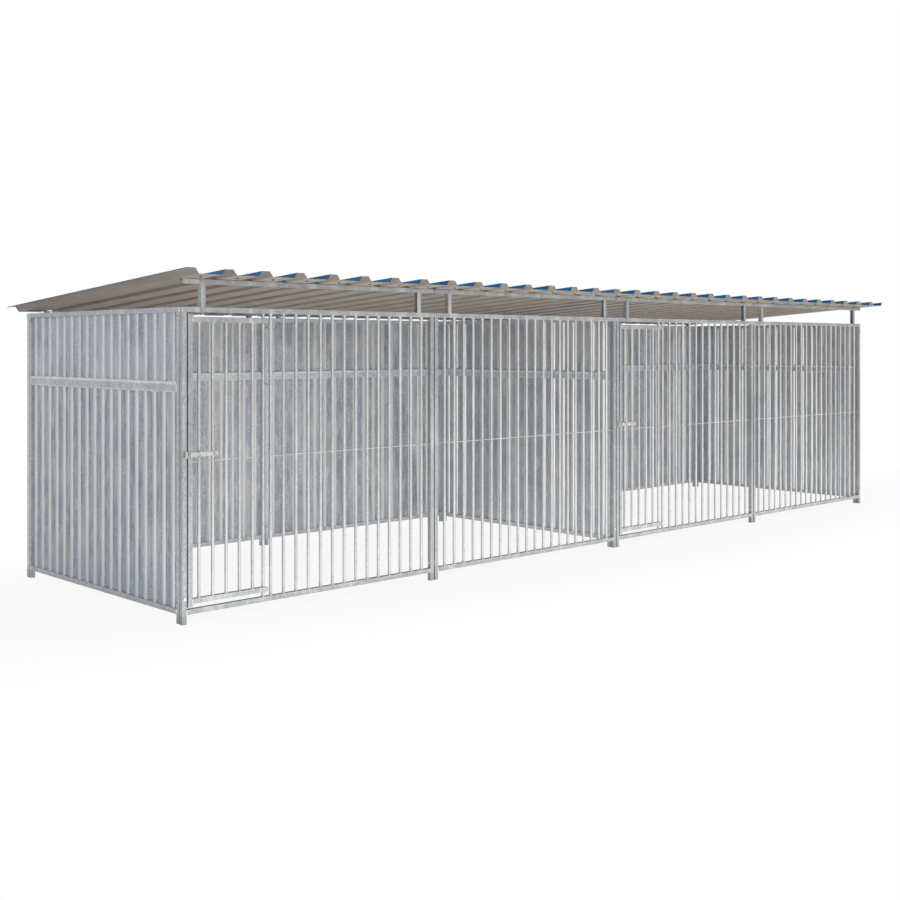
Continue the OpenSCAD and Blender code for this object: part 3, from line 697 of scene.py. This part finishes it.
class KENNEL_OT_weld_bars(bpy.types.Operator):
    """Welds every bar to its rails, and the tie rods to the bars"""

    bl_idname = "kennel.weld_bars"
    bl_label = "Weld Bars"

    def execute(self, context):
        sizes = context.scene.kennel_details
        rods = islands("tie_rods")
        height = (rods[0][0].z + rods[0][1].z) / 2
        rod = (rods[0][1].z - rods[0][0].z) / 2
        weld = finish_of("Frosted weld")
        for n in PANELS:
            bm = bmesh.new()
            bars = standing(f"front_bars_{n}")
            hinges = [box for door in DOORS for box in standing(f"hinge_bar_{door}")]
            low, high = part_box(f"front_frame_{n}")
            bar_welds(bm, bars + [box for box in hinges if low.x < box[0].x < high.x], sizes.bar_leg)
            rod_welds(bm, bars, height, rod, sizes.rod_leg)
            piece(f"bar_welds_{n}", bm, weld, ROOT)
        for n in DOORS:
            bm = bmesh.new()
            bars = standing(f"door_bars_{n}")
            bar_welds(bm, bars, sizes.bar_leg)
            rod_welds(bm, bars, height, rod, sizes.rod_leg)
            piece(f"door_bar_welds_{n}", bm, weld, f"door_{n}")
        return {"FINISHED"}


def upright_bead(bm, along, end, face, low, high, radius):
    """A fine bead that stands on a face where a rail ends. Along is the axis that the rail follows."""
    points = Vector((0, 0, low + radius)), Vector((0, 0, high - radius))
    for point in points:
        point[along] = end
        point[1 - along] = face
    bead(bm, *points, radius, ripple=0.35, pitch=0.004)


def rail_joints(bm, name, radius, along):
    """Beads on both faces where the rails of a frame meet its posts."""
    across = 1 - along
    solids = islands(name)
    rails = [box for box in solids if box[1][along] - box[0][along] > box[1].z - box[0].z]
    for low, high in rails:
        if high.z - low.z > RAIL_MAX:
            continue
        for end in (low[along], high[along]):
            for face in (low[across], high[across]):
                upright_bead(bm, along, end, face, low.z, high.z, radius)


class KENNEL_OT_weld_frames(bpy.types.Operator):
    """Welds the rails of every frame to its posts"""

    bl_idname = "kennel.weld_frames"
    bl_label = "Weld Frames"

    def execute(self, context):
        radius = context.scene.kennel_details.joint_bead
        weld = finish_of("Frosted weld")
        bm = bmesh.new()
        for n in PANELS:
            rail_joints(bm, f"front_frame_{n}", radius, 0)
            rail_joints(bm, f"back_frame_{n}", radius, 0)
        for wall in WALLS:
            rail_joints(bm, f"{wall}_frame", radius, 1)
        piece("frame_welds", bm, weld, ROOT)
        for n in DOORS:
            bm = bmesh.new()
            solids = islands(f"door_frame_{n}")
            stile = min(solids, key=lambda box: box[0].x)
            for low, high in solids:
                if high.z - low.z < RAIL_MAX:
                    for face in (low.y, high.y):
                        upright_bead(bm, 0, stile[1].x, face, low.z, high.z, radius)
            piece(f"door_frame_welds_{n}", bm, weld, f"door_{n}")
        return {"FINISHED"}


# Share of the upper bead's radius that the bead below a middle rail has
LOWER_BEAD = 0.45


class KENNEL_OT_weld_middle_rails(bpy.types.Operator):
    """Lays the rough beads that hold the wall sheets to the middle rails"""

    bl_idname = "kennel.weld_middle_rails"
    bl_label = "Weld Middle Rails"

    def execute(self, context):
        radius = context.scene.kennel_details.rail_bead
        weld = finish_of("Frosted weld")
        panels = [(f"{wall}_sheets", 1, wall) for wall in WALLS]
        panels += [(f"back_sheets_{n}", 0, f"back_{n}") for n in PANELS]
        for sheets, along, label in panels:
            across = 1 - along
            lower, upper = sorted(islands(sheets), key=lambda box: box[0].z)
            bm = bmesh.new()
            for z, size in ((lower[1].z, LOWER_BEAD * radius), (upper[0].z, radius)):
                for face in (lower[0][across], lower[1][across]):
                    points = Vector((0, 0, z)), Vector((0, 0, z))
                    for point, end in zip(points, (lower[0][along] + radius, lower[1][along] - radius)):
                        point[along] = end
                        point[across] = face
                    bead(bm, *points, size, ripple=0.75, pitch=0.012)
            piece(f"middle_rail_welds_{label}", bm, weld, ROOT)
        return {"FINISHED"}


# A washer's bore as a share of the bolt head's size
WASHER_BORE = 0.9


class KENNEL_OT_fit_washers(bpy.types.Operator):
    """Puts a washer under the head of every panel bolt"""

    bl_idname = "kennel.fit_washers"
    bl_label = "Fit Washers"

    def execute(self, context):
        sizes = context.scene.kennel_details
        bm = bmesh.new()
        heads = islands("panel_bolts")
        if not heads:
            raise RuntimeError("the frame has no panel bolts")
        front = min(low.y for low, high in heads)
        back = max(high.y for low, high in heads)
        for low, high in heads:
            middle = (low + high) / 2
            size = high - low
            if size.x > size.y:
                axis, end, radius = Vector((1, 0, 0)), Vector((high.x, middle.y, middle.z)), size.z / 2
            else:
                forward = abs(low.y - front) < abs(high.y - back)
                axis, radius = Vector((0, -1 if forward else 1, 0)), size.x / 2
                end = Vector((middle.x, low.y if forward else high.y, middle.z))
            place = end - axis * sizes.bolt_head
            washer(bm, place, axis, radius * WASHER_BORE, radius + sizes.washer_edge, sizes.washer_t)
        piece("panel_washers", bm, finish_of("Zinc hardware"), ROOT)
        return {"FINISHED"}


def washer(bm, place, axis, inner, outer, thickness):
    """A flat ring that stands on a face at place, with its rim rounded."""
    side = axis.orthogonal().normalized()
    outline = ((inner, 0.0), (outer, 0.0), (outer, 0.7 * thickness), (outer - 0.3 * thickness, thickness),
               (inner, thickness))
    lathe(bm, [place + side * out + axis * up for out, up in outline], place, axis, steps=20)


class KENNEL_OT_plug_roof(bpy.types.Operator):
    """Closes the spare holes in the roof's front edge with rubber plugs"""

    bl_idname = "kennel.plug_roof"
    bl_label = "Plug Roof"

    def execute(self, context):
        sizes = context.scene.kennel_details
        screws = islands("roof_screws")
        middle_y = sum(low.y + high.y for low, high in screws) / (2 * len(screws))
        front = [box for box in screws if box[1].y < middle_y]
        back = [box for box in screws if box[0].y > middle_y]
        if len(front) != len(back):
            raise RuntimeError("the roof's two rows of screws don't match")
        run = (back[0][0] + back[0][1] - front[0][0] - front[0][1]) / 2
        slope = Vector((0, run.y, run.z)).normalized()
        up = Vector((0, -slope.z, slope.y))
        bm = bmesh.new()
        for low, high in front:
            middle = (low + high) / 2
            top = Vector((middle.x, middle.y, high.z)) - up * sizes.screw_head
            plug(bm, top - slope * sizes.plug_front, up, sizes.plug_d / 2, sizes.plug_h)
        bmesh.ops.remove_doubles(bm, verts=bm.verts, dist=MERGE)
        piece("roof_plugs", bm, finish_of("Rubber plug"), ROOT)
        return {"FINISHED"}


def plug(bm, place, axis, radius, height):
    """A plug with a low head on both sides of a sheet at place. Its poles are left to be merged."""
    side = axis.orthogonal().normalized()
    head = ((0.6, 0.92), (0.94, 0.55))
    outline = [(0.0, 1.0), *head, (1.0, 0.0), *((out, -up) for out, up in reversed(head)), (0.0, -1.0)]
    line = [place + side * radius * out + axis * height * up for out, up in outline]
    lathe(bm, line, place, axis, steps=12, closed=False)


# Half the floor's width, and the camera's sensor in millimetres
FLOOR_HALF = 90
SENSOR = 36
# The floor turns white between these distances from the middle, in half footprints
FADE_START = 0.95
FADE_END = 2.0
# The lamps on the floor: their height, the length of the runs' lamp as a share of the kennel's and its room at
# the back, and the length of the front lamp as a share of that one's and its reach to the front
LAMP_LIFT = 0.004
RUN_SHARE = 0.96
RUN_BACK = 0.3
FRONT_SHARE = 1.2
FRONT_REACH = 3.3


class KENNEL_OT_stage(bpy.types.Operator):
    """Sets the floor, the light and the camera"""

    bl_idname = "kennel.stage"
    bl_label = "Set Stage"

    def execute(self, context):
        stage = context.scene.kennel_stage
        context.scene.view_settings.view_transform = "Standard"
        lay_floor(stage)
        context.scene.world = studio_world(stage)
        key_lamp(stage)
        low, high = CAD_BOX
        span, edge = RUN_SHARE * (high.x - low.x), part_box("front_frame_1")[0].y
        floor_lamp("bounce", stage.bounce, span, edge, high.y - RUN_BACK)
        floor_lamp("front_bounce", stage.front, FRONT_SHARE * span, edge - FRONT_REACH, edge)
        context.scene.camera = photo_camera(stage)
        return {"FINISHED"}


def lay_floor(stage):
    bm = bmesh.new()
    bmesh.ops.create_grid(bm, x_segments=1, y_segments=1, size=FLOOR_HALF)
    floor = placed("floor", mesh_from("floor", bm, floor_material(stage)))


def photo_camera(stage):
    """A level camera at the photo's viewing angle."""
    lens = bpy.data.cameras.new("camera")
    lens.sensor_fit = "HORIZONTAL"
    lens.sensor_width = SENSOR
    lens.lens = stage.lens
    lens.shift_y = stage.rise
    camera = placed("camera", lens)
    camera.location = stage.eye
    camera.rotation_euler = (math.pi / 2, 0, -stage.turn)
    return camera


def key_lamp(stage):
    lamp = bpy.data.lights.new("key", "SUN")
    lamp.energy = stage.key
    lamp.angle = stage.key_spread
    key = placed("key", lamp)
    key.rotation_euler = Vector(stage.key_direction).to_track_quat("-Z", "Y").to_euler()


def floor_lamp(name, power, span, front, back):
    """A soft lamp flat on the floor, out of the camera's sight, between a front and a back edge."""
    lamp = bpy.data.lights.new(name, "AREA")
    lamp.shape = "RECTANGLE"
    lamp.size, lamp.size_y = span, back - front
    lamp.energy = power
    made = placed(name, lamp)
    made.location = (0, (front + back) / 2, LAMP_LIFT)
    made.rotation_euler = (math.pi, 0, 0)
    made.visible_camera = False


def seen_ray(tree):
    """One where the ray comes from the camera, or by a reflection or through glass."""
    path = add(tree, "ShaderNodeLightPath").outputs
    seen = math_node(tree, "MAXIMUM", path["Is Camera Ray"], path["Is Glossy Ray"])
    return math_node(tree, "MAXIMUM", seen, path["Is Transmission Ray"])


def floor_material(stage):
    """A pale floor that whitens for the camera away from the kennel's footprint and keeps its shadow."""
    made, tree, shader = blank("Studio floor", Roughness=0.9, Specular_IOR_Level=0.1)
    place = add(tree, "ShaderNodeTexCoord").outputs["Object"]
    tone = mix(tree, noise_value(tree, place, 1.2, 4.0), stage.floor, shade(stage.floor, 0.97))
    tree.links.new(tone, shader.inputs["Base Color"])
    white = add(tree, "ShaderNodeEmission", {"Color": (1, 1, 1, 1), "Strength": 1.0})
    low, high = CAD_BOX
    footprint = stretched(tree, place, (2 / (high.x - low.x), 2 / (high.y - low.y), 1))
    away = add(tree, "ShaderNodeVectorMath", {0: footprint}, operation="LENGTH").outputs["Value"]
    whiteness = ease(tree, away, FADE_START, FADE_END, stage.floor_white, 1.0)
    share = math_node(tree, "MULTIPLY", seen_ray(tree), whiteness)
    both = add(tree, "ShaderNodeMixShader", {0: share, 1: shader.outputs[0], 2: white.outputs[0]})
    tree.links.new(both.outputs[0], tree.nodes["Material Output"].inputs["Surface"])
    return made


def studio_world(stage):
    """Even light that the camera sees as plain white."""
    world = bpy.data.worlds.new("Studio")
    world.use_nodes = True
    tree = world.node_tree
    light = tree.nodes["Background"]
    light.inputs["Color"].default_value = (1, 1, 1, 1)
    light.inputs["Strength"].default_value = stage.sky
    white = add(tree, "ShaderNodeBackground", {"Color": (1, 1, 1, 1), "Strength": 1.0})
    both = add(tree, "ShaderNodeMixShader", {0: seen_ray(tree), 1: light.outputs[0], 2: white.outputs[0]})
    tree.links.new(both.outputs[0], tree.nodes["World Output"].inputs["Surface"])
    return world


OPERATORS = (
    KENNEL_OT_finish_tubes, KENNEL_OT_finish_sheets, KENNEL_OT_finish_hardware, KENNEL_OT_finish_roof,
    KENNEL_OT_weld_bars, KENNEL_OT_weld_frames, KENNEL_OT_weld_middle_rails, KENNEL_OT_fit_washers,
    KENNEL_OT_plug_roof, KENNEL_OT_stage)


class KENNEL_PT_sidebar(bpy.types.Panel):
    """Steps, sizes and colours of the kennel"""

    bl_idname = "KENNEL_PT_sidebar"
    bl_label = "Kennel"
    bl_space_type = "VIEW_3D"
    bl_region_type = "UI"
    bl_category = "Kennel"

    def draw(self, context):
        column = self.layout.column()
        for operator in OPERATORS:
            column.operator(operator.bl_idname)
        scene = context.scene
        for settings in (scene.kennel_finishes, scene.kennel_details, scene.kennel_stage):
            box = self.layout.box()
            for name in settings.bl_rna.properties.keys():
                if name not in ("name", "rna_type"):
                    box.prop(settings, name)


CLASSES = (KennelFinishes, KennelDetails, KennelStage, *OPERATORS, KENNEL_PT_sidebar)


def register():
    for each in CLASSES:
        bpy.utils.register_class(each)
    bpy.types.Scene.kennel_finishes = bpy.props.PointerProperty(type=KennelFinishes)
    bpy.types.Scene.kennel_details = bpy.props.PointerProperty(type=KennelDetails)
    bpy.types.Scene.kennel_stage = bpy.props.PointerProperty(type=KennelStage)


def unregister():
    del bpy.types.Scene.kennel_stage
    del bpy.types.Scene.kennel_details
    del bpy.types.Scene.kennel_finishes
    for each in reversed(CLASSES):
        bpy.utils.unregister_class(each)


def main():
    register()
    bpy.ops.kennel.finish_tubes()
    bpy.ops.kennel.finish_sheets()
    bpy.ops.kennel.finish_hardware()
    bpy.ops.kennel.finish_roof()
    bpy.ops.kennel.weld_bars()
    bpy.ops.kennel.weld_frames()
    bpy.ops.kennel.weld_middle_rails()
    bpy.ops.kennel.fit_washers()
    bpy.ops.kennel.plug_roof()
    bpy.ops.kennel.stage()


if __name__ == "__main__":
    main()
